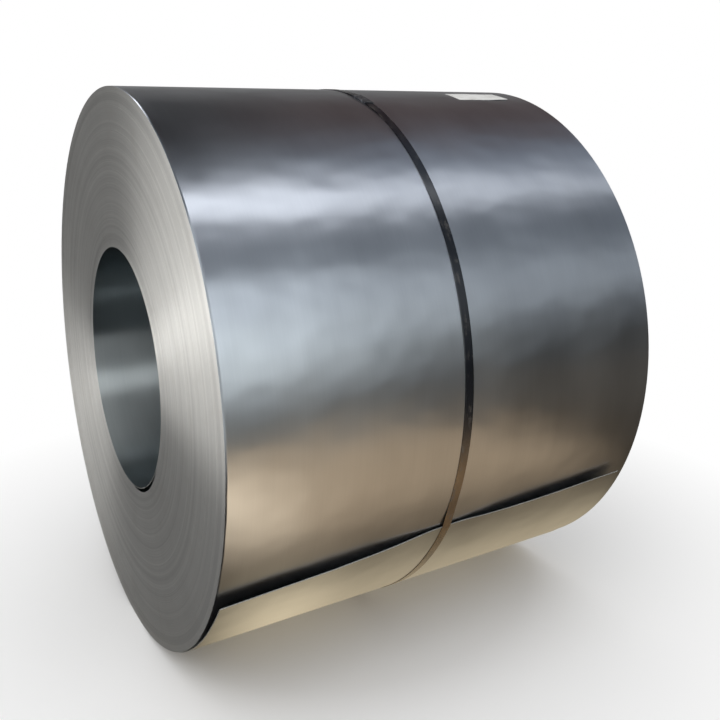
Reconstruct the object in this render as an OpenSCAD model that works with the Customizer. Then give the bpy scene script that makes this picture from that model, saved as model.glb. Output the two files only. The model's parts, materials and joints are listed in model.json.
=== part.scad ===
// Steel strip coil lying on its side, bound by one steel strap.
// X runs along the coil's axis, -Y is the side where the strip ends, and +Z is up.
// The origin is on the ground under the middle of the coil.

/* [Coil] */
// Width of the coil along its axis
coil_w = 950; // [700:10:1500]
// Outer diameter of the coil
coil_d = 1160; // [900:10:1800]
// Diameter of the bore that a mandrel fits
bore_d = 508; // [400:2:620]
// Thickness of the strip
strip_t = 1.5; // [0.8:0.1:3]

/* [Turns on the ends] */
// Number of bands of turns that show on each end
turn_bands = 20; // [8:1:32]
// How far the turns wander between the two ends
turn_wander = 1.4; // [0.4:0.1:3]
// Radial width of the turns at the bore and at the rim that stand flush with the ends
flush_w = 8; // [4:1:14]

/* [Inner end of the strip] */
// Angle of the middle of the gap behind the innermost turn, from the -Y side upwards
lap_angle = -60; // [-120:1:-30]
// Half the angle that the gap covers
lap_half_angle = 28; // [15:1:50]
// Widest place of the gap
lap_gap = 8; // [2:0.5:12]
// Slit at the cut edge of the innermost turn
lap_slit = 3; // [1:0.5:6]

/* [Outer end of the strip] */
// Angle of the middle of the free edge below the coil's axis
tail_edge_angle = 27; // [12:0.5:40]
// Angle along which the loose end springs off the turn under it
tail_arc = 40; // [20:1:46]
// Angle along which the loose end's own thickness runs out
tail_root_arc = 14; // [6:1:20]
// Gap under the free edge at the strap
tail_gap_mid = 3.5; // [1:0.5:8]
// Gap under the free edge at its two corners
tail_gap_end = 15; // [4:1:30]
// Distance from the strap at which about half of the corner's gap is reached
tail_hold_w = 105; // [40:5:200]
// Distance from the loose end's -X side edge to the end of the coil
tail_inset_left = 5; // [3:1:40]
// Distance from the loose end's +X side edge to the end of the coil
tail_inset_right = 38; // [3:1:60]
// How much further the free edge reaches at its +X corner than at its -X corner
tail_skew = 60; // [0:5:80]

/* [Strap] */
// Width of the strap
strap_w = 19; // [13:1:32]
// Thickness of the strap
strap_t = 0.9; // [0.5:0.1:1.5]
// Clearance between the strap and what it lies on
strap_clear = 0.2; // [0.1:0.1:0.5]
// How far the strap leans towards +X at the top of the coil, and as far towards -X at the bottom
strap_lean = 15; // [0:1:20]
// How far each end of the strap runs past the seal
strap_end_l = 26; // [10:1:60]

/* [Strap seal] */
// Angle of the seal above the coil's axis, on the -Y side
seal_angle = 73; // [60:1:100]
// Length of the seal along the strap
seal_l = 56; // [30:1:70]
// Thickness of the seal's metal
seal_t = 1.2; // [0.6:0.1:2]
// Clearance between the seal and the strap
seal_clear = 0.5; // [0.4:0.1:0.8]
// Number of crimped notches along each side of the seal
seal_notches = 3; // [1:1:4]
// Depth of a crimped notch
notch_depth = 2.2; // [1:0.1:3]

/* [Label] */
// Length of the paper label along the coil
label_l = 140; // [60:5:200]
// Height of the label round the coil
label_h = 62; // [30:1:120]
// Thickness of the paper
label_t = 0.3; // [0.2:0.05:0.6]
// Clearance between the paper and the coil
label_clear = 0.1; // [0.05:0.05:0.3]
// Distance from the label to the +X end of the coil
label_end_gap = 59; // [20:1:200]
// Angle of the middle of the label above the coil's axis, on the -Y side
label_angle = 77; // [60:1:110]

/* [Hidden] */

coil_r = coil_d / 2;
bore_r = bore_d / 2;
axis_z = coil_r + strap_clear + strap_t;   // the coil stands on its strap
round_fn = 180;
past = 2;                // how far a cut runs past the faces that it leaves through
slit_share = 0.8;        // place of the slit, as a share of the way from the gap's middle to its end

// Turns: band i of the winding, counted outwards from the bore
band_w = (coil_r - bore_r - 2 * flush_w) / turn_bands;
golden_angle = 137.5;    // spreads the bands' places without repeating them

// Loose end: the angles of its root, of the tip of the gap and of its free edge
tip_angle = -tail_edge_angle - tail_arc;
root_angle = tip_angle - tail_root_arc;
root_rows = 5;
tail_rows = 16;
side_columns = 11;       // sections on each side of the strap
column_spread = 1.4;     // crowds the sections towards the strap
root_depth = 6;          // how deep the root is let into the winding
root_step = 0.05;        // keeps the root's faces clear of the winding's surface
hold_half = strap_w / 2; // the strap holds the free edge straight over its own width
hold_mid = -strap_lean * sin(tail_edge_angle);
tail_mid = (tail_inset_left - tail_inset_right) / 2;
tail_w = coil_w - tail_inset_left - tail_inset_right;

// Strap: the angle at which it leaves the winding to reach over the free edge, those of its two
// ends, and how its upper end climbs onto the lower one
edge_r = coil_r + root_step + tail_gap_mid + strip_t;
bridge_angle = -tail_edge_angle + acos(coil_r / edge_r);
seal_reach = seal_l / 2 / coil_r * 180 / PI;
strap_past = strap_end_l / coil_r * 180 / PI;
strap_start = seal_angle - seal_reach - strap_past;
strap_stop = seal_angle + seal_reach + strap_past + 360;
lap_clear = 0.1;         // between the two layers of the strap
climb_arc = 6;
strap_step = 2;          // angle between two sections of the strap
bridge_rows = 4;

// Seal: it closes round both layers of the strap
seal_low_r = coil_r + strap_clear + 2 * strap_t + lap_clear + seal_clear;
notch_fn = 24;

// A point on a circle about the coil's axis, with the angle counted from -Y up towards +Z
function on_circle(r, angle) = [-r * cos(angle), r * sin(angle)];

function smooth(s) = s * s * (3 - 2 * s);

// Place of band i between the two ends, from 0 to 1
function wander(i) = 0.5 + 0.5 * sin(i * golden_angle);

// Radius and axial place of the edges of the turns on one end, with side = -1 or 1
function end_profile(side) = concat(
    [[bore_r, side * coil_w / 2], [bore_r + flush_w, side * coil_w / 2]],
    [for (i = [1 : turn_bands], k = [0, 1])
        [bore_r + flush_w + (i - 1 + k) * band_w,
         side * (coil_w / 2 - turn_wander * (side < 0 ? wander(i) : 1 - wander(i)))]],
    [[coil_r - flush_w, side * coil_w / 2], [coil_r, side * coil_w / 2]]);

function reversed(list) = [for (i = [len(list) - 1 : -1 : 0]) list[i]];

// Distance from the strap's edge to the loose end's side edge, on one side of the strap
function side_reach(side) = tail_w / 2 + side * (tail_mid - hold_mid) - hold_half;

// Place along X of section i of the loose end, counted out from the strap, where they lie closest
function column_x(side, i) =
    hold_mid + side * (hold_half + side_reach(side) * pow(i / side_columns, column_spread));

// Gap under the free edge at x: it opens quickly beside the strap and then levels off
function edge_gap(x) =
    let (d = max(0, abs(x - hold_mid) - hold_half), far = side_reach(sign(x - hold_mid)), w = tail_hold_w)
    tail_gap_mid + (tail_gap_end - tail_gap_mid) * d * d / (d * d + w * w) * (1 + w * w / far / far);

// Angle of the free edge at x, which the skew of the cut turns
function free_edge_angle(x) =
    -tail_edge_angle + tail_skew * (x - hold_mid) / tail_w / coil_r * 180 / PI;

// Radius of the loose end's inner face at x, a share s of the way from the gap's tip to the edge
function tail_in_r(x, s) = coil_r + root_step + edge_gap(x) * s * s;

// Section of the loose end across the coil's axis at x, as one closed loop
function tail_loop(x) = concat(
    [on_circle(coil_r - root_depth, root_angle)],
    [for (j = [0 : root_rows - 1]) let (s = j / root_rows)
        on_circle(coil_r + root_step + strip_t * smooth(s), root_angle + tail_root_arc * s)],
    [for (j = [0 : tail_rows]) let (s = j / tail_rows)
        on_circle(tail_in_r(x, s) + strip_t, tip_angle + (free_edge_angle(x) - tip_angle) * s)],
    [for (j = [tail_rows : -1 : 0]) let (s = j / tail_rows)
        on_circle(tail_in_r(x, s), tip_angle + (free_edge_angle(x) - tip_angle) * s)],
    [on_circle(coil_r - root_depth, tip_angle)]);

// Radius of what the strap lies on at an angle: the root of the loose end, its outer face up to
// the free edge, the straight line from there to the winding, and the winding
function strap_floor(angle) =
    let (a = angle > 180 ? angle - 360 : angle, s = (a - tip_angle) / tail_arc)
    a < root_angle || a > bridge_angle ? coil_r
    : a < tip_angle ? coil_r + root_step + strip_t * smooth(1 + s * tail_arc / tail_root_arc)
    : a <= -tail_edge_angle ? tail_in_r(hold_mid, s) + strip_t
    : coil_r / cos(bridge_angle - a);

// How far the strap's upper end has climbed onto its lower one at an angle
function strap_climb(angle) =
    let (s = (angle - strap_start - 360) / climb_arc + 1)
    (strap_t + lap_clear) * smooth(max(0, min(1, s)));

// Section of the strap at an angle, as one closed loop
function strap_loop(angle) =
    let (x = strap_lean * sin(angle), r = strap_floor(angle) + strap_clear + strap_climb(angle))
    [for (c = [[-1, 0], [1, 0], [1, 1], [-1, 1]])
        let (p = on_circle(r + c[1] * strap_t, angle)) [x + c[0] * strap_w / 2, p[0], p[1]]];

// Angles from one to another in even steps, without the last
function steps(from, to, count) = [for (j = [0 : count - 1]) from + (to - from) * j / count];
function steps_between(from, to) = steps(from, to, ceil((to - from) / strap_step));

// Cylinder along X, centred on the origin
module bar(r, length) {
    rotate([0, 90, 0]) cylinder(r = r, h = length, center = true, $fn = round_fn);
}

// Part of a ring about the X axis between two angles, with the angles counted from -Y upwards
module ring_sector(r1, r2, w, angle1, angle2) {
    rotate([180 - angle2, 0, 0]) rotate([90, 0, 90])
        rotate_extrude(angle = angle2 - angle1, $fn = round_fn)
            translate([r1, -w / 2]) square([r2 - r1, w]);
}

// The winding with its bore, its bands of turns stepping in and out on both ends
module winding() {
    rotate([0, 90, 0])
        rotate_extrude($fn = round_fn)
            polygon(concat(end_profile(-1), reversed(end_profile(1))));
}

// Crescent behind the innermost turn, where its cut end has sprung off the turn outside it
module lap_cut() {
    turn_r = bore_r + strip_t;
    shift = lap_gap / (1 - cos(lap_half_angle));
    slit_angle = lap_angle + slit_share * lap_half_angle;
    length = coil_w + 2 * past;
    slit_depth = strip_t + past / 2;
    difference() {
        rotate([-lap_angle, 0, 0]) translate([0, -shift, 0]) bar(turn_r + lap_gap - shift, length);
        bar(turn_r, length + 2 * past);
    }
    rotate([-slit_angle, 0, 0]) translate([-length / 2, -turn_r, -lap_slit / 2])
        cube([length, slit_depth, lap_slit]);
}

// Loose outer end of the strip, sprung off at its corners and held near the winding by the strap
module tail() {
    places = concat([for (i = [side_columns : -1 : 0]) column_x(-1, i)],
                    [for (i = [0 : side_columns]) column_x(1, i)]);
    loops = [for (x = places) [for (p = tail_loop(x)) [x, p[0], p[1]]]];
    n = len(loops[0]);
    last = len(loops) - 1;
    outer = root_rows + 1;          // place in a loop of the outer face above the gap's tip
    inner = n - 2;                  // place in a loop of the inner face at the gap's tip
    side = concat(
        [[for (j = [0 : outer]) j, inner, n - 1]],
        [for (k = [0 : tail_rows - 1]) [outer + k, outer + k + 1, inner - k - 1, inner - k]]);
    skin = [for (i = [0 : last - 1], j = [0 : n - 1])
        let (a = i * n + j, b = i * n + (j + 1) % n)
        each [[a, b, b + n], [a, b + n, a + n]]];
    polyhedron([for (loop = loops, p = loop) p], concat(skin,
        [for (face = side) reversed(face)],
        [for (face = side) [for (j = face) last * n + j]]));
}

module coil() {
    color([0.62, 0.63, 0.64]) translate([0, 0, axis_z]) {
        difference() {
            union() {
                winding();
                tail();
            }
            lap_cut();
        }
    }
}

// Band round the coil, which leaves the winding to reach over the loose end; its two ends lie one
// on the other under the seal
module strap() {
    angles = concat(steps_between(strap_start, root_angle + 360),
                    steps(root_angle + 360, tip_angle + 360, root_rows),
                    steps(tip_angle + 360, 360 - tail_edge_angle, tail_rows),
                    steps(360 - tail_edge_angle, bridge_angle + 360, bridge_rows),
                    steps_between(bridge_angle + 360, strap_stop), [strap_stop]);
    last = 4 * (len(angles) - 1);
    color([0.13, 0.14, 0.18]) translate([0, 0, axis_z])
        polyhedron([for (a = angles, p = strap_loop(a)) p], concat(
            [for (i = [0 : 4 : last - 4], j = [0 : 3]) let (a = i + j, b = i + (j + 1) % 4)
                each [[a, b, b + 4], [a, b + 4, a + 4]]],
            [[3, 2, 1, 0], [last, last + 1, last + 2, last + 3]]));
}

// Sleeve folded round the strap and crimped at both sides
module strap_seal() {
    inner_half = strap_w / 2 + seal_clear;
    half_w = inner_half + seal_t;
    bite = 3 * seal_t;         // length of the crimping tool's cut across the seal's wall
    color([0.2, 0.2, 0.22]) translate([strap_lean * sin(seal_angle), 0, axis_z])
        difference() {
            ring_sector(coil_r + strap_clear, seal_low_r + seal_t, 2 * half_w,
                        seal_angle - seal_reach, seal_angle + seal_reach);
            ring_sector(coil_r, seal_low_r, 2 * inner_half,
                        seal_angle - 2 * seal_reach, seal_angle + 2 * seal_reach);
            for (i = [1 : seal_notches], side = [-1, 1])
                rotate([-seal_angle - seal_reach + 2 * seal_reach * i / (seal_notches + 1), 0, 0])
                    translate([side * half_w, -seal_low_r, 0])
                        rotate([90, 0, 0])
                            cylinder(r = notch_depth / 2, h = 2 * bite, center = true, $fn = notch_fn);
        }
}

// Paper label bent round the top of the coil
module label() {
    half = label_h / 2 / coil_r * 180 / PI;
    color([0.92, 0.92, 0.9]) translate([coil_w / 2 - label_end_gap - label_l / 2, 0, axis_z])
        ring_sector(coil_r + label_clear, coil_r + label_clear + label_t, label_l,
                    label_angle - half, label_angle + half);
}

coil();
strap();
strap_seal();
label();
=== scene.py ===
import json
import math
import bpy
import numpy as np
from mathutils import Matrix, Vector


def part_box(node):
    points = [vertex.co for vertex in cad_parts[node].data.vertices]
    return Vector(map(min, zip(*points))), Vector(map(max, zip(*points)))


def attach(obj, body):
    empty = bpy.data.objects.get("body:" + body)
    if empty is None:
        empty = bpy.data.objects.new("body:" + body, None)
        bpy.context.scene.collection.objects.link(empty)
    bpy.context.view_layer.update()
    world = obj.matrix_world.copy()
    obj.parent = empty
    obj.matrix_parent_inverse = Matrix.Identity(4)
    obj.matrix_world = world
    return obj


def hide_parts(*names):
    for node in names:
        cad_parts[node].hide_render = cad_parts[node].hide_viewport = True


# Steel coil on its side: the winding, its sprung outer end, one strap with its seal, a paper label.
# Everything is in metres. X runs along the coil's axis and -Y is the side with the loose end.
# Angles go round the axis, from the -Y side up towards +Z, and are in degrees.

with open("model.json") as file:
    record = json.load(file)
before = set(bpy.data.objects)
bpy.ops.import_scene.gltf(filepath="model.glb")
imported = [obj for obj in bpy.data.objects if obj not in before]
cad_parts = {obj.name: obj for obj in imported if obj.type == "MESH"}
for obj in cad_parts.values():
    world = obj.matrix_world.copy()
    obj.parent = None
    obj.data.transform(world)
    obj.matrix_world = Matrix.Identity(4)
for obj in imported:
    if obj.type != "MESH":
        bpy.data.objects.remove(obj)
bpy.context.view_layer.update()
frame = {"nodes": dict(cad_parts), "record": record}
print("frame loaded:", ", ".join(sorted(frame["nodes"])))

coilLow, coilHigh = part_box("coil")
halfWidth = (coilHigh.x - coilLow.x) / 2
coilRadius = (coilHigh.y - coilLow.y) / 2
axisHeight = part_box("strap")[1].z / 2        # the strap reaches from the ground to over the top
boreMount = next(m for m in frame["record"]["mounts"] if m["name"] == "bore")
boreRadius = boreMount["dims"]["r_mm"] / 1000
stripThickness = 0.0015
strapWidth, strapLean = 0.019, 0.015         # the lean is its shift along X at the top
noiseMiddle = (0.3, 0.7)                     # range in which most values of a noise lie
plainWhite = (1, 1, 1, 1)
alongCoil = 0.25                             # brushed round the coil, as a share of a turn


def ringPoint(x, radius, angle):
    # x stays, y = -radius cos(angle), z = radius sin(angle) above the axis
    turn = np.radians(angle)
    x, radius, turn = np.broadcast_arrays(x, radius, turn)
    return np.stack([x, -radius * np.cos(turn), axisHeight + radius * np.sin(turn)], -1)


def smoothStep(t):
    # 3t^2 - 2t^3, held at 0 below t = 0 and at 1 above t = 1
    t = np.clip(t, 0, 1)
    return t * t * (3 - 2 * t)


def waves(t, seed):
    # five sines of rising rate and falling height, with seeded phases; the sum stays within -1 to 1
    picks = np.random.default_rng(seed)
    total, reach = np.zeros_like(np.asarray(t, float)), 0
    for rate in np.linspace(1, 6, 5):
        total = total + np.sin(rate * t + picks.uniform(0, 2 * np.pi)) / rate
        reach += 1 / rate
    return total / reach


def arcDegrees(length, radius=None):
    # the angle that a length takes up round the coil
    return math.degrees(length / (radius or coilRadius))


def numberGrid(points):
    return np.arange(points.shape[0] * points.shape[1]).reshape(points.shape[:2])


def gridFaces(grid):
    # each cell of a grid of vertex numbers becomes one face
    cells = [grid[:-1, :-1], grid[1:, :-1], grid[1:, 1:], grid[:-1, 1:]]
    return np.stack(cells, -1).reshape(-1, 4)


def meshPiece(name, points, quads, materials, slots, sharpAngle):
    # the volume's sign, from the corners' triple products, says whether the faces look outwards
    a, b, c, d = (points[quads[:, k]] for k in range(4))
    volume = (a * (np.cross(b, c) + np.cross(c, d))).sum()
    if volume < 0:
        quads = quads[:, ::-1]
    mesh = bpy.data.meshes.new(name)
    mesh.vertices.add(len(points))
    mesh.vertices.foreach_set("co", points.astype(np.float32).ravel())
    mesh.loops.add(quads.size)
    mesh.loops.foreach_set("vertex_index", quads.astype(np.int32).ravel())
    mesh.polygons.add(len(quads))
    mesh.polygons.foreach_set("loop_start", np.arange(0, quads.size, 4, dtype=np.int32))
    mesh.update(calc_edges=True)
    for material in materials:
        mesh.materials.append(material)
    mesh.polygons.foreach_set("material_index", slots.astype(np.int32))
    mesh.polygons.foreach_set("use_smooth", np.ones(len(quads), bool))
    mesh.validate()
    mesh.set_sharp_from_angle(angle=math.radians(sharpAngle))
    mesh.update()
    piece = bpy.data.objects.new(name, mesh)
    bpy.context.scene.collection.objects.link(piece)
    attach(piece, "root")
    return piece


def closedSheet(name, outer, inner, faceMaterial, rimMaterial, sharpAngle=35):
    # two grids of points, one on each face of the sheet, joined all round by a rim of faces
    top = numberGrid(outer)
    low = top + top.size
    border = lambda g: np.concatenate([g[:, 0], g[-1, 1:], g[-2::-1, -1], g[0, -2:0:-1]])
    b, l = border(top), border(low)
    rim = np.stack([np.roll(b, -1), b, l, np.roll(l, -1)], -1)
    sides = np.concatenate([gridFaces(top), gridFaces(low)[:, ::-1]])
    slots = np.repeat([0, 1], [len(sides), len(rim)])
    return meshPiece(name, np.concatenate([outer.reshape(-1, 3), inner.reshape(-1, 3)]),
                     np.concatenate([sides, rim]), [faceMaterial, rimMaterial], slots, sharpAngle)


def feed(tree, node, inputs):
    # a socket is linked to the input, and any other value is set on the input itself
    for key, value in inputs.items():
        if isinstance(value, bpy.types.NodeSocket):
            tree.links.new(value, node.inputs[key])
        else:
            node.inputs[key].default_value = value
    return node


def put(tree, kind, inputs=None, **settings):
    made = tree.nodes.new(kind)
    for key, value in settings.items():
        setattr(made, key, value)
    return feed(tree, made, inputs or {})


def useGroup(tree, group, inputs):
    return put(tree, "ShaderNodeGroup", inputs, node_tree=group).outputs


def calc(tree, operation, *values, clamp=False):
    return put(tree, "ShaderNodeMath", dict(enumerate(values)), operation=operation,
               use_clamp=clamp).outputs[0]


def weighted(tree, *pairs):
    # sum of each value times its share
    total = 0.0
    for value, share in pairs:
        total = calc(tree, "ADD", total, calc(tree, "MULTIPLY", value, share))
    return total


def vectorCalc(tree, operation, *values):
    return put(tree, "ShaderNodeVectorMath", dict(enumerate(values)), operation=operation).outputs


def stretched(tree, place, factors):
    return vectorCalc(tree, "MULTIPLY", place, factors)[0]


def splitPlace(tree, place):
    return put(tree, "ShaderNodeSeparateXYZ", {0: place}).outputs


def blendColours(tree, factor, first, second, mode="MIX"):
    # 0, 6 and 7 are the Mix node's factor and its two colours
    return put(tree, "ShaderNodeMix", {0: factor, 6: first, 7: second}, data_type="RGBA",
               blend_type=mode).outputs[2]


def grey(tree, value):
    return put(tree, "ShaderNodeCombineColor", {0: value, 1: value, 2: value}).outputs[0]


def remap(tree, value, low, high, newLow=0.0, newHigh=1.0):
    return put(tree, "ShaderNodeMapRange",
               {0: value, 1: low, 2: high, 3: newLow, 4: newHigh}).outputs[0]


def noise(tree, place, scale, detail=2.0, roughness=0.5):
    return put(tree, "ShaderNodeTexNoise", {"Vector": place, "Scale": scale, "Detail": detail,
                                            "Roughness": roughness}).outputs["Fac"]


def lineNoise(tree, along, scale, detail, roughness=0.5):
    return put(tree, "ShaderNodeTexNoise", {"W": along, "Scale": scale, "Detail": detail,
                                            "Roughness": roughness},
               noise_dimensions="1D").outputs["Fac"]


def relief(tree, height, strength, distance, **more):
    return put(tree, "ShaderNodeBump", {"Height": height, "Strength": strength,
                                        "Distance": distance, **more}).outputs[0]


def roundTheCoil(tree):
    # direction of rolling, for brushed reflections
    return put(tree, "ShaderNodeTangent", direction_type="RADIAL", axis="X").outputs[0]


def emptyMaterial(name):
    material = bpy.data.materials.new(name)
    material.use_nodes = True
    tree = material.node_tree
    tree.nodes.clear()
    return material, tree, put(tree, "ShaderNodeTexCoord").outputs["Object"]


def newMaterial(name):
    material, tree, place = emptyMaterial(name)
    shader = put(tree, "ShaderNodeBsdfPrincipled")
    put(tree, "ShaderNodeOutputMaterial", {"Surface": shader.outputs[0]})
    return material, tree, shader, place


def newGroup(name, inputs, outputs):
    group = bpy.data.node_groups.new(name, "ShaderNodeTree")
    for label, kind, value in inputs:
        socket = group.interface.new_socket(label, in_out="INPUT", socket_type=kind)
        if value is not None:
            socket.default_value = value
    for label, kind in outputs:
        group.interface.new_socket(label, in_out="OUTPUT", socket_type=kind)
    return group, group.nodes.new("NodeGroupInput").outputs, group.nodes.new("NodeGroupOutput")


def makeAxisPlace():
    # where a point lies about the coil's axis: its radius, and its share of a turn from -Y upwards
    group, given, out = newGroup("placeRoundAxis",
                                 [("Place", "NodeSocketVector", None)],
                                 [("Along", "NodeSocketFloat"), ("Radius", "NodeSocketFloat"),
                                  ("Turn", "NodeSocketFloat")])
    parts = splitPlace(group, given["Place"])
    height = calc(group, "SUBTRACT", parts["Z"], axisHeight)
    outward = calc(group, "MULTIPLY", parts["Y"], -1.0)
    squares = calc(group, "ADD", calc(group, "MULTIPLY", height, height),
                   calc(group, "MULTIPLY", outward, outward))
    angle = calc(group, "ARCTAN2", height, outward)
    feed(group, out, {"Along": parts["X"], "Radius": calc(group, "SQRT", squares),
                      "Turn": calc(group, "MULTIPLY", angle, 1 / (2 * math.pi))})
    return group


grainShape = dict(
    streakLength=3.0,                # scale of the streaks along the strip; the higher, the shorter
    cloudStretch=(2.2, 1.0, 1.0), cloudScale=2.6,
    swayStretch=(1.6, 2.4, 2.4), swayScale=3.0,
    swayHeight=0.02, streakHeight=0.0004,
)


def makeRollingGrain(g):
    # fine streaks along the strip's length, broad waviness of the sheet, and a normal from both
    group, given, out = newGroup("rollingGrain",
                                 [("Place", "NodeSocketVector", None),
                                  ("Fineness", "NodeSocketFloat", 500.0),
                                  ("Depth", "NodeSocketFloat", 0.1),
                                  ("Waviness", "NodeSocketFloat", 0.1)],
                                 [("Streaks", "NodeSocketFloat"), ("Clouds", "NodeSocketFloat"),
                                  ("Normal", "NodeSocketVector")])
    across = put(group, "ShaderNodeCombineXYZ", {0: given["Fineness"], 1: g["streakLength"],
                                                 2: g["streakLength"]}).outputs[0]
    streaks = noise(group, stretched(group, given["Place"], across), 1.0, 4.0, 0.6)
    clouds = noise(group, stretched(group, given["Place"], g["cloudStretch"]),
                   g["cloudScale"], 3.0, 0.55)
    sway = noise(group, stretched(group, given["Place"], g["swayStretch"]), g["swayScale"])
    broad = relief(group, sway, given["Waviness"], g["swayHeight"])
    fine = relief(group, streaks, given["Depth"], g["streakHeight"], Normal=broad)
    feed(group, out, {"Streaks": streaks, "Clouds": clouds, "Normal": fine})
    return group


def makeSpecks():
    # sparse spots where a noise passes a limit, for scuffs, dust and oil marks
    group, given, out = newGroup("specks",
                                 [("Place", "NodeSocketVector", None),
                                  ("Size", "NodeSocketFloat", 60.0),
                                  ("Limit", "NodeSocketFloat", 0.62),
                                  ("Softness", "NodeSocketFloat", 0.06)],
                                 [("Mask", "NodeSocketFloat")])
    field = noise(group, given["Place"], given["Size"], 5.0, 0.65)
    over = calc(group, "SUBTRACT", field, given["Limit"])
    feed(group, out, {"Mask": calc(group, "DIVIDE", over, given["Softness"], clamp=True)})
    return group


axisPlace, rollingGrain, specks = makeAxisPlace(), makeRollingGrain(grainShape), makeSpecks()
print("shader groups built")


def specksOn(tree, place, kind):
    return useGroup(tree, specks, {"Place": place, **kind})["Mask"]


skinLook = dict(
    dull=(0.50, 0.51, 0.53, 1), bright=(0.62, 0.63, 0.65, 1), oil=(0.40, 0.38, 0.35, 1),
    rough=(0.278, 0.32),             # above 0.274, where the denoiser would start to draw contours
    grain=420.0, grainDepth=0.006, waviness=0.22, brushed=0.2,
    streakShare=0.14,                # of the streaks in the tone; the rest is the clouds'
    contrast=(0.32, 0.68),           # tones that are wholly dull and wholly bright
    oilMarks=dict(Size=5.0, Limit=0.5, Softness=0.4), oilStretch=(1.0, 0.35, 0.35),
    oilShare=0.15, oilRough=0.02,
)
# the bore's skin: the same strip as the outer skin, with painted shade, darker and greener inside
# the bore
boreShadeLook = dict(skinLook, dull=(0.36, 0.40, 0.42, 1), bright=(0.48, 0.53, 0.55, 1),
                rough=(0.31, 0.35), waviness=0.08, brushed=0.97)


def makeStripSkin(name, look):
    # cold rolled strip: metal with streaks round the coil, broad clouds and faint oil marks
    material, tree, shader, place = newMaterial(name)
    grain = useGroup(tree, rollingGrain, {"Place": place, "Fineness": look["grain"],
                                          "Depth": look["grainDepth"],
                                          "Waviness": look["waviness"]})
    marks = specksOn(tree, stretched(tree, place, look["oilStretch"]), look["oilMarks"])
    tone = weighted(tree, (grain["Streaks"], look["streakShare"]),
                    (grain["Clouds"], 1 - look["streakShare"]))
    colour = blendColours(tree, remap(tree, tone, *look["contrast"]), look["dull"],
                          look["bright"])
    colour = blendColours(tree, calc(tree, "MULTIPLY", marks, look["oilShare"]), colour,
                          look["oil"])
    rough = calc(tree, "ADD", remap(tree, tone, *noiseMiddle, *look["rough"]),
                 calc(tree, "MULTIPLY", marks, look["oilRough"]))
    feed(tree, shader, {"Base Color": colour, "Roughness": rough, "Normal": grain["Normal"],
                        "Tangent": roundTheCoil(tree), "Metallic": 1.0,
                        "Anisotropic": look["brushed"], "Anisotropic Rotation": alongCoil})
    return material


turnLook = dict(
    dark=(0.63, 0.625, 0.605, 1), light=(0.81, 0.805, 0.78, 1), dust=(0.66, 0.645, 0.61, 1),
    rough=(0.57, 0.63), metal=0.8, brushed=0.9,
    turnShare=0.30, bandShare=0.45, cloudShare=0.25,     # of the tone
    contrast=(0.34, 0.66),
    turnScale=0.9, bandScale=0.09, cloudScale=5.0,
    dustMarks=dict(Size=16.0, Limit=0.55, Softness=0.12), dustShare=0.3,
    lineWidth=0.16, lineTone=0.80,   # the darker line between two turns, in turns
    grooveWidth=0.2, turnHeight=0.8, grooveStrength=0.22, grooveDepth=0.0004,
)


def makeTurnEdges(look):
    # slit edges of the turns: the tone runs along the strip's spiral, so each turn differs from the
    # next
    material, tree, shader, place = newMaterial("turnEdges")
    where = useGroup(tree, axisPlace, {"Place": place})
    count = calc(tree, "DIVIDE", where["Radius"], stripThickness)
    shifted = calc(tree, "SUBTRACT", count, where["Turn"])
    along = calc(tree, "ADD", calc(tree, "FLOOR", shifted), where["Turn"])
    single = lineNoise(tree, along, look["turnScale"], 2.0)
    bands = lineNoise(tree, calc(tree, "MULTIPLY", shifted, look["bandScale"]), 1.0, 3.0, 0.6)
    clouds = noise(tree, place, look["cloudScale"], 4.0, 0.6)
    groove = calc(tree, "PINGPONG", calc(tree, "FRACT", shifted), 0.5)
    tone = weighted(tree, (single, look["turnShare"]), (bands, look["bandShare"]),
                    (clouds, look["cloudShare"]))
    colour = blendColours(tree, remap(tree, tone, *look["contrast"]), look["dark"],
                          look["light"])
    dust = calc(tree, "MULTIPLY", specksOn(tree, place, look["dustMarks"]), look["dustShare"])
    colour = blendColours(tree, dust, colour, look["dust"])
    line = remap(tree, groove, 0.0, look["lineWidth"], look["lineTone"], 1.0)
    colour = blendColours(tree, 1.0, colour, grey(tree, line), mode="MULTIPLY")
    height = calc(tree, "ADD", remap(tree, groove, 0.0, look["grooveWidth"]),
                  calc(tree, "MULTIPLY", single, look["turnHeight"]))
    feed(tree, shader, {"Base Color": colour,
                        "Roughness": remap(tree, tone, *noiseMiddle, *look["rough"]),
                        "Normal": relief(tree, height, look["grooveStrength"],
                                         look["grooveDepth"]),
                        "Tangent": roundTheCoil(tree), "Metallic": look["metal"],
                        "Anisotropic": look["brushed"], "Anisotropic Rotation": alongCoil})
    return material


cutLook = dict(torn=(0.42, 0.42, 0.40, 1), sheared=(0.62, 0.62, 0.59, 1), rough=0.42, metal=0.7,
               grain=380.0, contrast=(0.4, 0.6), strength=0.3, depth=0.0003)


def makeCutEdge(look):
    # sheared edge of the strip: bright and duller torn places, told apart by fine noise
    material, tree, shader, place = newMaterial("cutEdge")
    torn = noise(tree, place, look["grain"], 3.0)
    colour = blendColours(tree, remap(tree, torn, *look["contrast"]), look["torn"],
                          look["sheared"])
    feed(tree, shader, {"Base Color": colour, "Roughness": look["rough"],
                        "Metallic": look["metal"],
                        "Normal": relief(tree, torn, look["strength"], look["depth"])})
    return material


strapLook = dict(
    paint=(0.004, 0.005, 0.008, 1), worn=(0.06, 0.055, 0.05, 1), lowBrown=(0.13, 0.075, 0.032, 1),
    rough=(0.20, 0.268),             # below 0.274, for the denoiser's sake
    gloss=0.8,
    brownTop=0.53, brownFull=0.43,     # heights at which the brown begins and is full
    brownScale=14.0, brownContrast=(0.3, 0.6), brownLeast=0.5,              # its patches
    scuffs=dict(Size=70.0, Limit=0.55, Softness=0.1), scuffStretch=(1.0, 0.4, 0.4),
    scuffShare=0.6,
    grain=260.0, strength=0.2, depth=0.0004,
)


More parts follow.
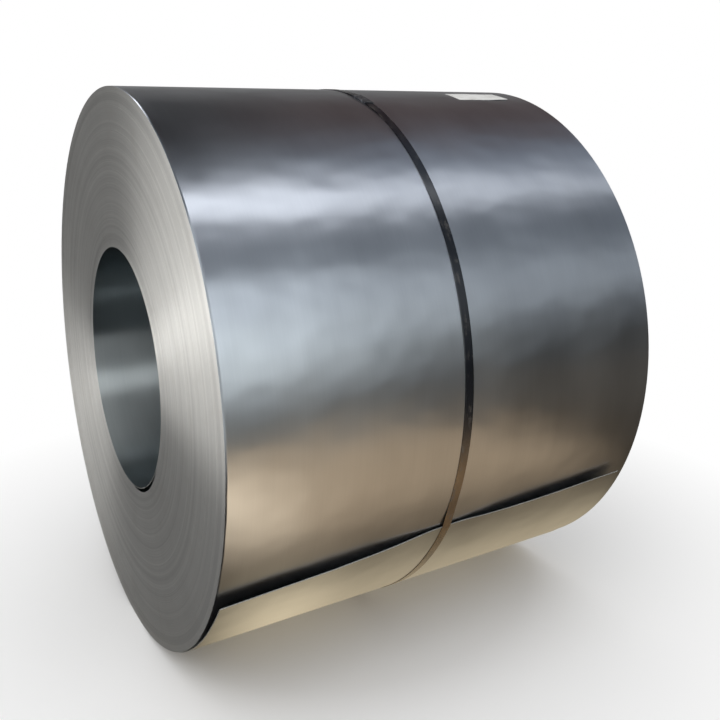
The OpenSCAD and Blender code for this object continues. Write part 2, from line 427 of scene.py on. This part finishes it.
def makeStrapFinish(look):
    # blued and waxed strapping: near black, rubbed lighter in scuffs and browner low down
    material, tree, shader, place = newMaterial("strapFinish")
    scuffs = specksOn(tree, stretched(tree, place, look["scuffStretch"]), look["scuffs"])
    # brown patches that grow towards the bottom of the strap
    low = remap(tree, splitPlace(tree, place)["Z"], look["brownTop"], look["brownFull"])
    patches = remap(tree, noise(tree, place, look["brownScale"], 4.0), *look["brownContrast"],
                    look["brownLeast"], 1.0)
    colour = blendColours(tree, calc(tree, "MULTIPLY", low, patches), look["paint"], look["lowBrown"])
    colour = blendColours(tree, calc(tree, "MULTIPLY", scuffs, look["scuffShare"]), colour,
                          look["worn"])
    feed(tree, shader, {"Base Color": colour,
                        "Roughness": remap(tree, scuffs, 0.0, 1.0, *look["rough"]),
                        "Specular IOR Level": look["gloss"],
                        "Normal": relief(tree, noise(tree, place, look["grain"], 3.0),
                                         look["strength"], look["depth"])})
    return material


sealLook = dict(plain=(0.16, 0.16, 0.17, 1), rubbed=(0.42, 0.42, 0.42, 1), rough=(0.48, 0.3),
                metal=0.9, rub=dict(Size=90.0, Limit=0.5, Softness=0.16),
                strength=0.25, depth=0.0004)


def makeSealSteel(look):
    # seal of dark plain steel, brighter where the crimping tool rubbed it
    material, tree, shader, place = newMaterial("sealSteel")
    rub = specksOn(tree, place, look["rub"])
    feed(tree, shader, {"Base Color": blendColours(tree, rub, look["plain"], look["rubbed"]),
                        "Roughness": remap(tree, rub, 0.0, 1.0, *look["rough"]),
                        "Metallic": look["metal"],
                        "Normal": relief(tree, rub, look["strength"], look["depth"])})
    return material


paperLook = dict(clean=(0.74, 0.74, 0.72, 1), soiled=(0.60, 0.59, 0.56, 1),
                 fibre=(0.66, 0.65, 0.63, 1), rough=0.75,
                 fibreScale=900.0, fibreStretch=(1.0, 2.2, 2.2), fibreContrast=(0.45, 0.7),
                 fibreShare=0.25, soilScale=22.0, soilContrast=(0.45, 0.75),
                 strength=0.15, depth=0.0002)


def makePaper(look):
    # plain paper: short fibres, slight soiling
    material, tree, shader, place = newMaterial("labelPaper")
    fibres = noise(tree, stretched(tree, place, look["fibreStretch"]), look["fibreScale"], 3.0,
                   0.7)
    soil = noise(tree, place, look["soilScale"], 4.0, 0.6)
    colour = blendColours(tree, remap(tree, soil, *look["soilContrast"]), look["clean"],
                          look["soiled"])
    shown = calc(tree, "MULTIPLY", remap(tree, fibres, *look["fibreContrast"]),
                 look["fibreShare"])
    feed(tree, shader, {"Base Color": blendColours(tree, shown, colour, look["fibre"]),
                        "Roughness": look["rough"],
                        "Normal": relief(tree, fibres, look["strength"], look["depth"])})
    return material


stripSkin, boreShadedSkin = makeStripSkin("stripSkin", skinLook), makeStripSkin("boreShadedSkin", boreShadeLook)
turnEdges, cutEdge = makeTurnEdges(turnLook), makeCutEdge(cutLook)
strapFinish, sealSteel = makeStrapFinish(strapLook), makeSealSteel(sealLook)
labelPaper = makePaper(paperLook)
print("finishes built")


winding = dict(
    columns=180,                     # steps round the axis
    skinPoints=9,                    # points along the skin
    flush=0.008,                     # turns at the bore and the rim that stand flush
    stepTurns=(1, 2, 3),             # numbers of turns that stand back together
    mostSteps=400,                   # more than there is room for
    bands=20,                        # groups of steps that wander together
    bandAngle=137.5,                 # from one band to the next on the sine of the setbacks
    wander=0.0004,                   # how far a band may stand back from the end
    jitter=0.00015,                  # how far a step may stand back from its band
    sway=0.00012,                    # how far a step comes and goes on its way round
    swayTurn=90,                     # shift of that from the bore outwards, radians per metre
    rimRound=0.0006,                 # rounding of the outermost turn's edges
    hair=0.00001,                    # least step between the profile's points
    sharpAngle=30,                   # between faces, from which their edge is drawn sharp
    seed=11,
)
lap = dict(                          # crescent behind the innermost turn
    angle=-60, halfAngle=28, gap=0.008, slit=0.003, slitShare=0.8,
    endSharpness=0.001,              # angle in which the crescent starts and ends
    inset=0.0002,                    # of the innermost turn from the coil's ends
    rows=5, columns=40,
)
lapStart = lap["angle"] - lap["halfAngle"]
lapEnd = lap["angle"] + lap["slitShare"] * lap["halfAngle"]


def lapRadius(angle):
    # far side of the crescent: circle of radius q, centre s towards the lap, seen from the axis:
    # s cos(d) + sqrt(q^2 - s^2 sin^2(d)), with d the angle from the lap's middle
    shift = lap["gap"] / (1 - math.cos(math.radians(lap["halfAngle"])))
    circle = boreRadius + stripThickness + lap["gap"] - shift
    d = np.radians(angle - lap["angle"])
    return shift * np.cos(d) + np.sqrt(circle ** 2 - (shift * np.sin(d)) ** 2)


def turnSteps(w, side, picks):
    # edges of the steps in pairs of radius and setback, from the bore outwards: band i stands back
    # wander (0.5 + 0.5 sin(bandAngle i)), mirrored on the other end, plus a small seeded share
    inside, outside = boreRadius + w["flush"], coilRadius - w["flush"]
    least, most = min(w["stepTurns"]), max(w["stepTurns"])
    turns = np.cumsum(picks.integers(least, most + 1, w["mostSteps"]))
    edges = np.concatenate([[boreRadius], boreRadius + stripThickness * turns])
    edges = np.append(edges[edges < coilRadius - 2 * stripThickness], coilRadius - w["rimRound"])
    middles = (edges[1:] + edges[:-1]) / 2
    band = np.ceil((middles - inside) / (outside - inside) * w["bands"])
    share = 0.5 + 0.5 * np.sin(np.radians(band * w["bandAngle"]))
    share = share if side < 0 else 1 - share
    setback = np.where((middles > inside) & (middles < outside), w["wander"] * share, 0)
    setback = setback + picks.uniform(0, w["jitter"], len(middles))
    setback[[0, -1]] = 0
    return np.repeat(edges, 2)[1:-1], np.repeat(setback, 2)


def makeWinding(w):
    # closed profile of radius and x, turned round the axis; in the lap its radius is at least the
    # crescent's, and the steps on the ends sway by sway (1 + sin(angle + swayTurn radius))
    picks = np.random.default_rng(w["seed"])
    radiusLeft, backLeft = turnSteps(w, -1, picks)
    radiusRight, backRight = turnSteps(w, 1, picks)
    skinEnd = halfWidth - w["rimRound"]
    skinX = np.linspace(-skinEnd, skinEnd, w["skinPoints"])
    radius = np.concatenate([radiusLeft, np.full(len(skinX), coilRadius), radiusRight[::-1]])
    x = np.concatenate([-halfWidth + backLeft, skinX, (halfWidth - backRight)[::-1]])
    even = np.arange(w["columns"]) * 360 / w["columns"] - 180
    sharp = lap["endSharpness"]
    angles = np.sort(np.append(even, [lapStart - sharp, lapStart, lapEnd, lapEnd + sharp]))
    grid = np.repeat(radius[:, None], len(angles), 1)
    # turns that the crescent cuts off are pushed out to its far side, a hair apart
    inLap = (angles >= lapStart) & (angles <= lapEnd)
    fromBore = np.minimum(np.arange(len(radius)), np.arange(len(radius))[::-1])[:, None]
    grid = np.where(inLap, np.maximum(grid, lapRadius(angles) + fromBore * w["hair"]), grid)
    onEnd = ((np.abs(x) < halfWidth - w["hair"]) & (radius < coilRadius - w["hair"]))[:, None]
    sway = w["sway"] * (1 + np.sin(np.radians(angles)[None, :] + radius[:, None] * w["swayTurn"]))
    points = ringPoint(x[:, None] - np.sign(x)[:, None] * np.where(onEnd, sway, 0), grid,
                       angles[None, :])
    quads = gridFaces(np.pad(numberGrid(points), ((0, 1), (0, 1)), mode="wrap"))
    rows = np.repeat(np.arange(len(radius)), len(angles))
    skin = (rows >= len(radiusLeft)) & (rows < len(radiusLeft) + len(skinX) - 1)
    # the last row, in the bore, takes the skin with painted shade
    slots = np.select([skin, rows == len(radius) - 1], [0, 2], 1)
    piece = meshPiece("windingTurns", points.reshape(-1, 3), quads,
                      [stripSkin, turnEdges, boreShadedSkin], slots, w["sharpAngle"])
    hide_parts("coil")


def makeInnerTurn(p):
    # the innermost turn over the crescent: two arcs a strip's thickness apart, from the root to the
    # cut edge
    cutAngle = lapEnd - arcDegrees(p["slit"] / 2, boreRadius)
    end = halfWidth - p["inset"]
    x, angle = np.meshgrid(np.linspace(-end, end, p["rows"]),
                           np.linspace(lapStart, cutAngle, p["columns"]), indexing="ij")
    # the innermost turn also takes the bore's skin with painted shade
    piece = closedSheet("innerTurnEnd", ringPoint(x, boreRadius + stripThickness, angle),
                        ringPoint(x, boreRadius, angle), boreShadedSkin, cutEdge)
    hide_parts("coil")


makeWinding(winding)
makeInnerTurn(lap)
print("winding built")


looseEnd = dict(
    edgeAngle=-27, arc=40, rootArc=14,
    gapMid=0.0035, gapEnd=0.015,     # under the free edge, at the strap and at the corners
    holdReach=0.105,                 # distance from the strap in which the gap opens half way
    rise=3,                          # power of the share of the arc by which the gap opens
    insetLeft=0.005, insetRight=0.038, skew=0.060,
    proud=0.00005,                   # off the coil
    sink=0.001,                      # of the root's inner face into the coil, so that it closes
    ripple=0.0006, rippleRate=16, rippleRise=3, rippleSeed=5,            # waves of the free edge
    calmReach=0.05,                  # distance from the strap in which they grow
    rowsRoot=8, rowsFree=44, columns=70,
    crowd=1.3,                       # power by which the columns crowd towards the strap
)
tipAngle = looseEnd["edgeAngle"] - looseEnd["arc"]
rootAngle = tipAngle - looseEnd["rootArc"]
sideLeft, sideRight = looseEnd["insetLeft"] - halfWidth, halfWidth - looseEnd["insetRight"]
holdX = strapLean * math.sin(math.radians(looseEnd["edgeAngle"]))   # strap's place on the free edge


def edgeGap(x):
    # mid + (end - mid) d^2 / (d^2 + w^2) (1 + w^2 / far^2), with d the distance out from the strap
    d = np.maximum(0, np.abs(x - holdX) - strapWidth / 2)
    far = np.where(x > holdX, sideRight - holdX, holdX - sideLeft) - strapWidth / 2
    w = looseEnd["holdReach"]
    rise = d * d / (d * d + w * w) * (1 + w * w / far / far)
    return looseEnd["gapMid"] + (looseEnd["gapEnd"] - looseEnd["gapMid"]) * rise


def freeEdgeAngle(x):
    # the middle angle plus the skew's share of the way along X
    share = (x - holdX) / (sideRight - sideLeft)
    return looseEnd["edgeAngle"] + np.degrees(looseEnd["skew"] * share / coilRadius)


def looseRadius(x, s):
    # inner face: coil radius + gap(x) s^rise, with faint waves that fade out at the tip and at the
    # strap
    e = looseEnd
    calm = smoothStep((np.abs(x - holdX) - strapWidth) / e["calmReach"])
    wave = e["ripple"] * waves(x * e["rippleRate"], e["rippleSeed"])
    wave = wave * s ** e["rippleRise"] * calm
    return coilRadius + e["proud"] + edgeGap(x) * s ** e["rise"] + wave


def makeLooseEnd(e):
    # inner face as above over the arc, with s from 0 at the tip to 1 at the free edge; outer face a
    # strip's thickness out, rising to that by a smooth step over the root's arc
    share = np.linspace(0, 1, e["columns"] // 2 + 1) ** e["crowd"]
    x = np.concatenate([holdX + (sideLeft - holdX) * share[:0:-1],
                        holdX + (sideRight - holdX) * share])[:, None]
    s = np.linspace(0, 1, e["rowsFree"] + 1)[None, :]
    freeTurn = tipAngle + (freeEdgeAngle(x) - tipAngle) * s
    freeInner = looseRadius(x, s)
    t = np.arange(e["rowsRoot"])[None, :] / e["rowsRoot"]
    rootTurn = rootAngle + e["rootArc"] * t + 0 * x
    rootOuter = coilRadius + e["proud"] + stripThickness * smoothStep(t) + 0 * x
    rootInner = np.full_like(rootOuter, coilRadius - e["sink"])
    turn = np.concatenate([rootTurn, freeTurn], 1)
    outer = ringPoint(x, np.concatenate([rootOuter, freeInner + stripThickness], 1), turn)
    inner = ringPoint(x, np.concatenate([rootInner, freeInner], 1), turn)
    piece = closedSheet("looseOuterEnd", outer, inner, stripSkin, cutEdge)
    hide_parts("coil")


makeLooseEnd(looseEnd)
print("loose end built")


strap = dict(
    thickness=0.0009, clear=0.0002,
    round=0.00025,                   # of the edges
    roundPoint=(0.4, 0.35),          # middle of the rounding, inwards and down, as shares of it
    flat=0.002,                      # distance from the edge of the section's next point
    endLength=0.026,                 # how far each end runs past the seal
    layerGap=0.0001,                 # between the two layers
    climb=6,                         # angle in which the upper layer climbs onto the lower one
    rows=440, sharpAngle=50,
)
seal = dict(
    angle=73, length=0.056, thickness=0.0012, clear=0.0005,
    foot=0.0001,                     # of the walls above the strap's underside
    shoulder=0.0013, innerShoulder=0.0004,
    notches=3, notchDepth=0.0016, notchLength=0.0032,
    innerNotch=0.35,                 # share of the notches' depth that shows inside
    pullFrom=0.55,                   # share of the half width from which a notch pulls the roof
    pullDown=0.25,                   # how far it pulls down, next to inwards
    rows=121, shoulderPoints=6, sharpAngle=40,
)


# the straight line from the free edge's outer corner touches the winding at the bridge angle
edgeCorner = coilRadius + looseEnd["proud"] + looseEnd["gapMid"] + stripThickness
bridgeAngle = looseEnd["edgeAngle"] + math.degrees(math.acos(coilRadius / edgeCorner))


def strapFloor(angle):
    # radius of what the strap lies on: the winding; the loose end's outer face, from its root to
    # its edge; and from there the straight line, coil radius / cos(angle to the bridge angle)
    e = looseEnd
    a = (angle + 180) % 360 - 180
    s = np.clip((a - tipAngle) / e["arc"], 0, 1)
    root = coilRadius + e["proud"] + stripThickness * smoothStep((a - rootAngle) / e["rootArc"])
    free = coilRadius + e["proud"] + e["gapMid"] * s ** e["rise"] + stripThickness
    line = coilRadius / np.cos(np.radians(np.clip(bridgeAngle - a, 0, 60)))   # read on it only
    onRoot = (a >= rootAngle) & (a < tipAngle)
    onFree = (a >= tipAngle) & (a <= e["edgeAngle"])
    onLine = (a > e["edgeAngle"]) & (a < bridgeAngle)
    return np.select([onRoot, onFree, onLine], [root, free, line], coilRadius)


def makeStrap(b, k):
    # band whose section has rounded edges, carried along the strap's line, its middle at
    # x = lean sin(angle); its ends lie one on the other under the seal
    reach = arcDegrees(k["length"] / 2 + b["endLength"])
    turn = np.linspace(0, 360 + 2 * reach, b["rows"])
    angle = k["angle"] - reach + turn
    climb = (b["thickness"] + b["layerGap"]) * smoothStep((turn - 360 + b["climb"]) / b["climb"])
    base = strapFloor(angle) + b["clear"] + climb
    half, r = strapWidth / 2, b["round"]
    roundIn, roundDown = b["roundPoint"]
    inward = np.array([0, roundIn * r, r, b["flat"], half])      # half of the section
    drop = np.array([r, roundDown * r, 0, 0, 0])
    across = np.concatenate([inward - half, (half - inward)[-2::-1]])
    drop = np.concatenate([drop, drop[-2::-1]])
    x = across[None, :] + strapLean * np.sin(np.radians(angle))[:, None]
    outer = ringPoint(x, base[:, None] + b["thickness"] - drop[None, :], angle[:, None])
    inner = ringPoint(x, base[:, None] + drop[None, :], angle[:, None])
    piece = closedSheet("strapBand", outer, inner, strapFinish, strapFinish,
                        b["sharpAngle"])
    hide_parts("strap")


def makeSeal(k, b):
    # sleeve over both layers of the strap: a flat roof with rounded shoulders and short walls,
    # carried along the seal, with each notch pinching its wall inwards by depth exp(-distance^4)
    reach = arcDegrees(k["length"] / 2)
    angle = np.linspace(k["angle"] - reach, k["angle"] + reach, k["rows"])
    spacing = 2 * reach / (k["notches"] + 1)
    middles = k["angle"] - reach + spacing * np.arange(1, k["notches"] + 1)
    near = (angle[:, None] - middles[None, :]) / arcDegrees(k["notchLength"] / 2)
    pinch = k["notchDepth"] * np.exp(-near ** 4).sum(1)[:, None]
    low = coilRadius + b["clear"] + k["foot"]
    roof = coilRadius + b["clear"] + 2 * b["thickness"] + b["layerGap"] + k["clear"]
    middle = strapLean * math.sin(math.radians(k["angle"]))
    bend = np.radians(np.linspace(0, 90, k["shoulderPoints"]))
    half = strapWidth / 2 + k["clear"]

    def section(wallX, top, curve, pull):
        # from the wall's foot over the shoulder to the middle of the roof, and mirrored beyond it
        shoulderX = wallX - curve + curve * np.cos(bend)
        shoulderR = top - curve + curve * np.sin(bend)
        xs = np.concatenate([[wallX, wallX], shoulderX, [wallX * k["pullFrom"], 0]])
        rs = np.concatenate([[low, (low + top) / 2], shoulderR, [top, top]])
        inward = np.clip((xs / wallX - k["pullFrom"]) / (1 - k["pullFrom"]), 0, 1)
        down = k["pullDown"] * inward * np.clip((rs - low) / (top - low), 0, 1)
        xs = xs[None, :] - pull * inward[None, :]
        rs = rs[None, :] - pull * down[None, :]
        return ringPoint(middle + np.concatenate([xs, -xs[:, -2::-1]], 1),
                         np.concatenate([rs, rs[:, -2::-1]], 1), angle[:, None])

    outer = section(half + k["thickness"], roof + k["thickness"], k["shoulder"], pinch)
    inner = section(half, roof, k["innerShoulder"], pinch * k["innerNotch"])
    piece = closedSheet("sealSleeve", outer, inner, sealSteel, sealSteel, k["sharpAngle"])
    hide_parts("strap_seal")


label = dict(
    endGap=0.059, length=0.140, angle=77, height=0.062, thickness=0.0003, clear=0.0001,
    curl=0.0016,                     # how far the loose corner has lifted
    curlAcross=0.45, curlDown=0.8,   # shares of the length and the height that it takes in
    cockle=0.0004, cockleRates=(7, 3), cockleRise=3, cockleSeed=9,       # waves of the sheet
    rows=29, columns=15,
)


def makeLabel(p):
    # sheet of paper on the winding; u and v are the shares along it and down it, and the corner
    # lifts as curl (smooth step of u times smooth step of v)^1.5
    reach = arcDegrees(p["height"] / 2)
    u = np.linspace(0, 1, p["rows"])[:, None]
    v = np.linspace(0, 1, p["columns"])[None, :]
    x = halfWidth - p["endGap"] - p["length"] * (1 - u) + 0 * v
    angle = p["angle"] + reach - 2 * reach * v
    corner = smoothStep(1 + (u - 1) / p["curlAcross"]) * smoothStep(1 + (v - 1) / p["curlDown"])
    lift = p["curl"] * corner ** 1.5
    rateU, rateV = p["cockleRates"]
    cockle = p["cockle"] * (1 + waves(u * rateU + v * rateV, p["cockleSeed"]))
    lift = lift + cockle * smoothStep(u * p["cockleRise"])
    radius = coilRadius + p["clear"] + lift
    piece = closedSheet("paperLabel", ringPoint(x, radius + p["thickness"], angle),
                        ringPoint(x, radius, angle), labelPaper, labelPaper)
    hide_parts("label")


makeStrap(strap, seal)
makeSeal(seal, strap)
makeLabel(label)
print("strap, seal and label built")


def stageObject(name, points, quads, material):
    mesh = bpy.data.meshes.new(name)
    mesh.from_pydata(points.tolist(), [], quads.tolist())
    mesh.materials.append(material)
    obj = bpy.data.objects.new(name, mesh)
    bpy.context.scene.collection.objects.link(obj)
    return obj


def plane(width, depth, z):
    w, d = width / 2, depth / 2
    return np.array([[-w, -d, z], [w, -d, z], [w, d, z], [-w, d, z]]), np.array([[0, 1, 2, 3]])


def tube(points):
    # rows of points round the axis, closed into a tube
    return points.reshape(-1, 3), gridFaces(np.pad(numberGrid(points), ((0, 0), (0, 1)),
                                                   mode="wrap"))


def seenWhite(tree):
    # 1 for rays from the camera and for rays that metal or glass sends on
    rays = put(tree, "ShaderNodeLightPath").outputs
    seen = calc(tree, "ADD", rays["Is Camera Ray"], rays["Is Glossy Ray"], clamp=True)
    return calc(tree, "ADD", seen, rays["Is Transmission Ray"], clamp=True)


floorLook = dict(
    size=14.0, colour=(0.90, 0.90, 0.90, 1), rough=0.9,
    shadeReach=(0.5, 1.35),          # radii between which the shaded floor turns into plain white
)


def makeFloor(f):
    material, tree, place = emptyMaterial("studioFloor")
    shaded = put(tree, "ShaderNodeBsdfPrincipled", {"Base Color": f["colour"],
                                                    "Roughness": f["rough"],
                                                    "Specular IOR Level": 0.0})
    white = put(tree, "ShaderNodeEmission", {"Color": plainWhite, "Strength": 1.0})
    flat = vectorCalc(tree, "LENGTH", stretched(tree, place, (1, 1, 0)))["Value"]
    fade = calc(tree, "MULTIPLY", seenWhite(tree), remap(tree, flat, *f["shadeReach"]))
    mix = put(tree, "ShaderNodeMixShader", {0: fade, 1: shaded.outputs[0], 2: white.outputs[0]})
    put(tree, "ShaderNodeOutputMaterial", {"Surface": mix.outputs[0]})
    stageObject("studioFloor", *plane(f["size"], f["size"], 0.0), material)


def makeReflector(name, points, quads, glow):
    # seen by reflected rays only; glow builds its light from the tree and the place
    material, tree, place = emptyMaterial(name + "Glow")
    light = put(tree, "ShaderNodeEmission", {"Color": glow(tree, place)})
    put(tree, "ShaderNodeOutputMaterial", {"Surface": light.outputs[0]})
    obj = stageObject(name, points, quads, material)
    for ray in ("camera", "diffuse", "transmission", "volume_scatter", "shadow"):
        setattr(obj, "visible_" + ray, False)


def softShare(tree, distance, gone, full, most=1.0):
    # nothing at gone, most at full, and the smooth step between them
    return put(tree, "ShaderNodeMapRange", {0: distance, 1: gone, 2: full, 3: 0.0, 4: most},
               interpolation_type="SMOOTHSTEP").outputs[0]


def addLight(tree, total, share, colour):
    return vectorCalc(tree, "ADD", vectorCalc(tree, "MULTIPLY", share, colour)[0], total)[0]


room = dict(
    radius=5.0, length=9.0, columns=96,
    near=1.35,                       # distance along X up to which a light keeps its full glow
    dark=0.015,                      # glow where no light is
    # soft lights along the wall: angle round the axis, degrees to each side at full glow and until
    # it is gone, glow, power by which it falls with the distance along X, distance where it starts,
    # colour
    lights=[
        (71, 0, 9, 3.0, 0.85, 0, (0.95, 0.99, 1.06)),      # narrow strip, high up
        (12, 5, 20, 1.4, 3.0, 0, (0.93, 1.02, 1.05)),      # low panel
        (34, 2, 9, 1.2, 5.0, 0, (0.92, 1.00, 1.07)),       # narrow panel above it
        (28, 7, 15, 0.28, 0.1, 0, (0.92, 1.00, 1.07)),     # long dim panel behind both
        (50, 20, 50, 0.14, 0, 0, (0.82, 0.98, 1.20)),      # wide bluish panel
        (88, 2, 26, 0.18, 0, 1.2, (0.80, 0.96, 1.24)),     # bluish panel overhead
        (120, 8, 34, 0.06, 0, 1.2, (1.30, 0.87, 0.85)),    # dark reddish panel behind
        (180, 10, 55, 0.30, 0, 0, (1.00, 1.00, 1.00)),     # plain panel behind, low down
    ],
    endReach=6.0, endLow=-5.0, endHigh=6.5,                # walls across the axis
    endGlow=0.20, endShade=0.6, endShadeTop=3.0,           # and their glow, less towards the floor
)


def makeWallLights(r):
    # sum of the lights: each is its soft share of the angle round the axis times (near / x)^fall
    group, given, out = newGroup("wallLights",
                                 [("Turn", "NodeSocketFloat", 0.0),
                                  ("Along", "NodeSocketFloat", 0.0)],
                                 [("Colour", "NodeSocketColor")])
    total = (r["dark"],) * 3
    angle = calc(group, "MULTIPLY", given["Turn"], 360.0)
    far = calc(group, "DIVIDE", r["near"], calc(group, "MAXIMUM", given["Along"], r["near"]))
    for middle, full, gone, glow, fall, start, colour in r["lights"]:
        aside = calc(group, "PINGPONG", calc(group, "SUBTRACT", angle, float(middle)), 180.0)
        share = softShare(group, aside, gone, full, glow)
        share = calc(group, "MULTIPLY", share, calc(group, "POWER", far, fall))
        if start:
            share = calc(group, "MULTIPLY", share,
                         softShare(group, given["Along"], start, 2 * start))
        total = addLight(group, total, share, colour)
    feed(group, out, {"Colour": total})
    return group


wallLights = makeWallLights(room)


def makeRoom(r):
    # a cylinder about the coil's axis, and a plain wall across each of its ends
    def wallGlow(tree, place):
        where = useGroup(tree, axisPlace, {"Place": place})
        along = calc(tree, "ABSOLUTE", where["Along"])
        return useGroup(tree, wallLights, {"Turn": where["Turn"], "Along": along})["Colour"]

    def endGlow(tree, place):
        return grey(tree, remap(tree, splitPlace(tree, place)["Z"], 0.0, r["endShadeTop"],
                                r["endGlow"] * r["endShade"], r["endGlow"]))

    turn = np.linspace(-180, 180, r["columns"] + 1)[:-1]
    x = np.array([-r["length"], r["length"]])
    makeReflector("reflectorWall", *tube(ringPoint(x[:, None], r["radius"], turn[None, :])),
                  wallGlow)
    reach, low, high = r["endReach"], r["endLow"], r["endHigh"]
    for name, x in (("reflectorEndLeft", -r["length"]), ("reflectorEndRight", r["length"])):
        corners = [[x, -reach, low], [x, reach, low], [x, reach, high], [x, -reach, high]]
        makeReflector(name, np.array(corners), np.array([[0, 1, 2, 3]]), endGlow)


dome = dict(                         # reflector round the coil's near end
    radius=1.6, rings=16, columns=48,
    pole=1,                          # angle from the axis at which its first ring lies
    dark=0.025, tint=(1.0, 0.99, 0.97),
    # soft lights: angle away from the axis, turn round it, glow, and the cosines of the angles from
    # the light's middle at which its glow is gone and full
    lights=[
        (90, 33, 1.06, -0.38, 0.69),                       # wide, from the side
        (65, 30, 4.2, 0.96, 0.99),                         # small, for the glint in the bore
    ],
    # collar that closes the dome towards the coil, so that its light falls on the end only; it
    # glows like the wall at a distance of collarAlong
    collarGap=0.004, collarX=0.005, collarAlong=1.9,
)


def makeDome(d):
    # half sphere: -cos(polar) along X, and sin(polar) times the direction of the turn across it
    def towards(polar, turn):
        polar, turn = np.broadcast_arrays(np.radians(polar), np.radians(turn))
        return np.stack([-np.cos(polar), -np.sin(polar) * np.cos(turn),
                         np.sin(polar) * np.sin(turn)], -1)

    centre = np.array([-halfWidth, 0, axisHeight])

    def domeGlow(tree, place):
        outward = vectorCalc(tree, "SUBTRACT", place, tuple(centre))[0]
        outward = vectorCalc(tree, "NORMALIZE", outward)[0]
        total = d["dark"]
        for polar, turn, glow, gone, full in d["lights"]:
            middle = tuple(towards(polar, turn))
            cosine = vectorCalc(tree, "DOT_PRODUCT", outward, middle)["Value"]
            total = calc(tree, "ADD", softShare(tree, cosine, gone, full, glow), total)
        return vectorCalc(tree, "MULTIPLY", total, d["tint"])[0]

    def collarGlow(tree, place):
        turn = useGroup(tree, axisPlace, {"Place": place})["Turn"]
        return useGroup(tree, wallLights, {"Turn": turn, "Along": d["collarAlong"]})["Colour"]

    polar = np.linspace(d["pole"], 90, d["rings"])[:, None]
    turn = np.linspace(0, 360, d["columns"] + 1)[None, :-1]
    radii = np.array([coilRadius + d["collarGap"], d["radius"]])[:, None]
    makeReflector("reflectorDome", *tube(centre + d["radius"] * towards(polar, turn)), domeGlow)
    makeReflector("reflectorCollar", *tube(ringPoint(d["collarX"] - halfWidth, radii, turn)),
                  collarGlow)


board = dict(                        # reflector on the floor round the coil
    width=18, depth=10, height=0.004,
    # soft pools of light: x, y, reach along X and Y, share of the reach that is soft, glow, colour
    pools=[
        (0.18, -1.30, 0.72, 0.85, 0.5, 0.40, (1.32, 1.00, 0.66)),
        (-0.26, -1.30, 0.22, 0.80, 1.0, 1.30, (1.20, 1.03, 0.78)),
        (-0.28, -0.35, 0.25, 0.33, 1.0, 0.35, (1.25, 1.05, 0.70)),
        (0.20, 0.00, 0.75, 0.64, 0.5, 0.45, (1.25, 1.04, 0.70)),
        (0.30, -3.40, 0.95, 2.00, 0.5, 0.15, (0.95, 1.04, 1.01)),
        (2.30, -2.40, 1.90, 2.40, 0.5, 0.07, (1.12, 1.00, 0.84)),
        (0.12, 1.30, 0.62, 1.50, 0.6, 0.50, (1.00, 1.00, 1.00)),
    ],
)


def makeBoard(b):
    # sum of the pools: each is the product of its soft shares along X and along Y
    def boardGlow(tree, place):
        parts = splitPlace(tree, place)
        total = (0, 0, 0)
        for x, y, reachX, reachY, soft, glow, colour in b["pools"]:
            asideX = calc(tree, "ABSOLUTE", calc(tree, "SUBTRACT", parts["X"], x))
            asideY = calc(tree, "ABSOLUTE", calc(tree, "SUBTRACT", parts["Y"], y))
            share = calc(tree, "MULTIPLY",
                         softShare(tree, asideX, reachX, reachX * (1 - soft)),
                         softShare(tree, asideY, reachY, reachY * (1 - soft), glow))
            total = addLight(tree, total, share, colour)
        return total

    makeReflector("reflectorBoard", *plane(b["width"], b["depth"], b["height"]), boardGlow)


lamp = dict(
    size=3.4, power=60, place=(-2.6, -1.6, 3.6), tilt=(30, -34),
    skyStrength=0.78,                # of the even light from all round
)


def makeLight(m):
    world = bpy.data.worlds.new("studioWorld")
    bpy.context.scene.world = world
    world.use_nodes = True
    tree = world.node_tree
    tree.nodes.clear()
    soft, white = (put(tree, "ShaderNodeBackground", {"Color": plainWhite, "Strength": strength})
                   for strength in (m["skyStrength"], 1.0))
    mix = put(tree, "ShaderNodeMixShader", {0: seenWhite(tree), 1: soft.outputs[0],
                                            2: white.outputs[0]})
    put(tree, "ShaderNodeOutputWorld", {"Surface": mix.outputs[0]})
    data = bpy.data.lights.new("softBox", "AREA")
    data.size, data.energy = m["size"], m["power"]
    box = bpy.data.objects.new("softBox", data)
    box.location = m["place"]
    box.rotation_euler = (math.radians(m["tilt"][0]), math.radians(m["tilt"][1]), 0)
    box.visible_glossy = False
    bpy.context.scene.collection.objects.link(box)


camera = dict(                       # fitted to the rims, the bore and the strap of the photograph
    place=(-0.9358, -1.8216, 1.1009),
    yaw=32.298,                      # degrees, turned right from +Y
    pitch=10.557,                    # degrees below the horizon
    focal=877.36,                    # pixels
    centre=(400, 280),               # where the optical axis meets the picture
    imageSize=720, sensor=36,
    near=0.05, far=100,
)


def makeCamera(c):
    data = bpy.data.cameras.new("camera")
    data.sensor_width = c["sensor"]
    data.lens = data.sensor_width * c["focal"] / c["imageSize"]
    data.shift_x = 0.5 - c["centre"][0] / c["imageSize"]
    data.shift_y = c["centre"][1] / c["imageSize"] - 0.5
    data.clip_start, data.clip_end = c["near"], c["far"]
    obj = bpy.data.objects.new("camera", data)
    obj.location = c["place"]
    obj.rotation_euler = (math.radians(90 - c["pitch"]), 0, -math.radians(c["yaw"]))
    bpy.context.scene.collection.objects.link(obj)
    bpy.context.scene.camera = obj


makeFloor(floorLook)
makeRoom(room)
makeDome(dome)
makeBoard(board)
makeLight(lamp)
makeCamera(camera)
bpy.context.scene.view_settings.view_transform = "Standard"
print("studio, light and camera set")
